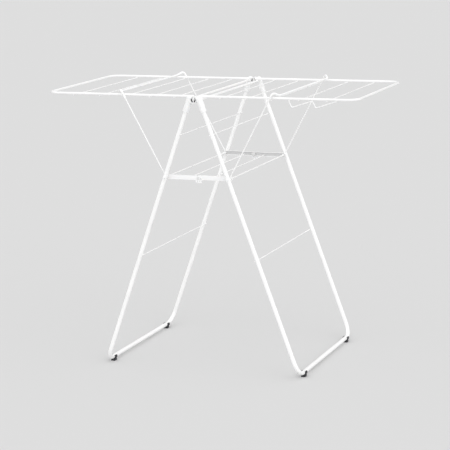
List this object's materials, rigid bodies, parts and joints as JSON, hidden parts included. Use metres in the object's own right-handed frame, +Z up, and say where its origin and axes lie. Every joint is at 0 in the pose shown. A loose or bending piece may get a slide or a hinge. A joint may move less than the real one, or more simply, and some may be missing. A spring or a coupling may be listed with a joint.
{
  "type": "clothes drying rack",
  "caption": "Folding gull-wing clothes drying rack of white coated steel tube and wire, with folding side braces and swinging wing props.",
  "frame": {"origin": "on the floor, at the centre of the rack's footprint", "axes": "+X along the rack towards the wing with the hanger wire, +Y from front to back, +Z up"},
  "size_m": [1.249, 0.6682, 1.0801],
  "materials": {
    "coated_tube": "white powder coat, satin, on steel tube",
    "coated_wire": "white plastic coating, satin, on steel wire",
    "white_plastic": "white moulded plastic, fine satin grain",
    "brace_shell": "white moulded plastic channel, satin",
    "grip_plastic": "white flexible plastic sleeve, satin",
    "rivets": "white coated rivet head",
    "rubber_feet": "black soft rubber, matt"
  },
  "bodies": {
    "left_legs": {"left_leg_frame": "coated_tube", "left_lower_leg_wire": "coated_wire", "left_upper_leg_wire": "coated_wire", "left_pivot_rod": "coated_wire", "left_front_rod_cap": "white_plastic", "left_back_rod_cap": "white_plastic", "left_front_foot": "rubber_feet", "left_back_foot": "rubber_feet", "left_front_hinge": "white_plastic", "left_back_hinge": "white_plastic", "front_hinge_pin": "rivets", "back_hinge_pin": "rivets"},
    "right_legs": {"right_leg_frame": "coated_tube", "right_lower_leg_wire": "coated_wire", "right_upper_leg_wire": "coated_wire", "right_pivot_rod": "coated_wire", "right_front_rod_cap": "white_plastic", "right_back_rod_cap": "white_plastic", "right_front_foot": "rubber_feet", "right_back_foot": "rubber_feet", "right_front_hinge": "white_plastic", "right_back_hinge": "white_plastic"},
    "left_wing": {"left_wing_frame": "coated_tube", "left_wing_bar": "coated_tube", "left_wing_wire_1": "coated_wire", "left_wing_wire_2": "coated_wire", "left_wing_wire_3": "coated_wire", "left_wing_wire_4": "coated_wire", "left_wing_wire_5": "coated_wire"},
    "right_wing": {"right_wing_frame": "coated_tube", "right_wing_bar": "coated_tube", "right_wing_wire_1": "coated_wire", "right_wing_wire_2": "coated_wire", "right_wing_wire_3": "coated_wire", "right_wing_wire_4": "coated_wire", "right_wing_wire_5": "coated_wire", "hanger_wire": "coated_wire"},
    "left_prop_hoop": {"left_front_prop": "coated_wire", "left_back_prop": "coated_wire", "left_prop_grip": "grip_plastic"},
    "right_prop_hoop": {"right_front_prop": "coated_wire", "right_back_prop": "coated_wire", "right_prop_grip": "grip_plastic"},
    "left_braces": {"front_left_brace": "brace_shell", "back_left_brace": "brace_shell", "left_brace_wire": "coated_wire", "front_left_rivet": "rivets", "back_left_rivet": "rivets", "front_brace_tab": "brace_shell", "back_brace_tab": "brace_shell"},
    "right_braces": {"front_right_brace": "brace_shell", "back_right_brace": "brace_shell", "right_brace_wire": "coated_wire", "front_right_rivet": "rivets", "back_right_rivet": "rivets"}
  },
  "joints": [
    {"name": "leg_fold", "type": "hinge", "parent": "left_legs", "child": "right_legs", "pos_m": [0, 0, 1.049], "axis": [0, 1, 0], "range_deg": [0, 38]},
    {"name": "right_wing_fold", "type": "hinge", "parent": "right_legs", "child": "right_wing", "pos_m": [0.022, 0, 1.0491], "axis": [0, 1, 0], "range_deg": [0, 68]},
    {"name": "left_wing_fold", "type": "hinge", "parent": "left_legs", "child": "left_wing", "pos_m": [-0.022, 0, 1.0491], "axis": [0, -1, 0], "range_deg": [0, 68]},
    {"name": "right_prop_swing", "type": "hinge", "parent": "right_legs", "child": "right_prop_hoop", "pos_m": [0.12803, 0, 0.751], "axis": [0, -1, 0], "range_deg": [0, 45]},
    {"name": "left_prop_swing", "type": "hinge", "parent": "left_legs", "child": "left_prop_hoop", "pos_m": [-0.12803, 0, 0.751], "axis": [0, 1, 0], "range_deg": [0, 45]},
    {"name": "left_brace_fold", "type": "hinge", "parent": "left_legs", "child": "left_braces", "pos_m": [-0.12803, 0, 0.751], "axis": [0, -1, 0], "range_deg": [0, 60.3]},
    {"name": "right_brace_fold", "type": "hinge", "parent": "right_legs", "child": "right_braces", "pos_m": [0.12803, 0, 0.751], "axis": [0, 1, 0], "range_deg": [0, 60.3]}
  ],
  "couplings": [
    {"joint": "left_brace_fold", "follows": "leg_fold", "ratio": 1.5839},
    {"joint": "right_brace_fold", "follows": "leg_fold", "ratio": 1.5839}
  ]
}
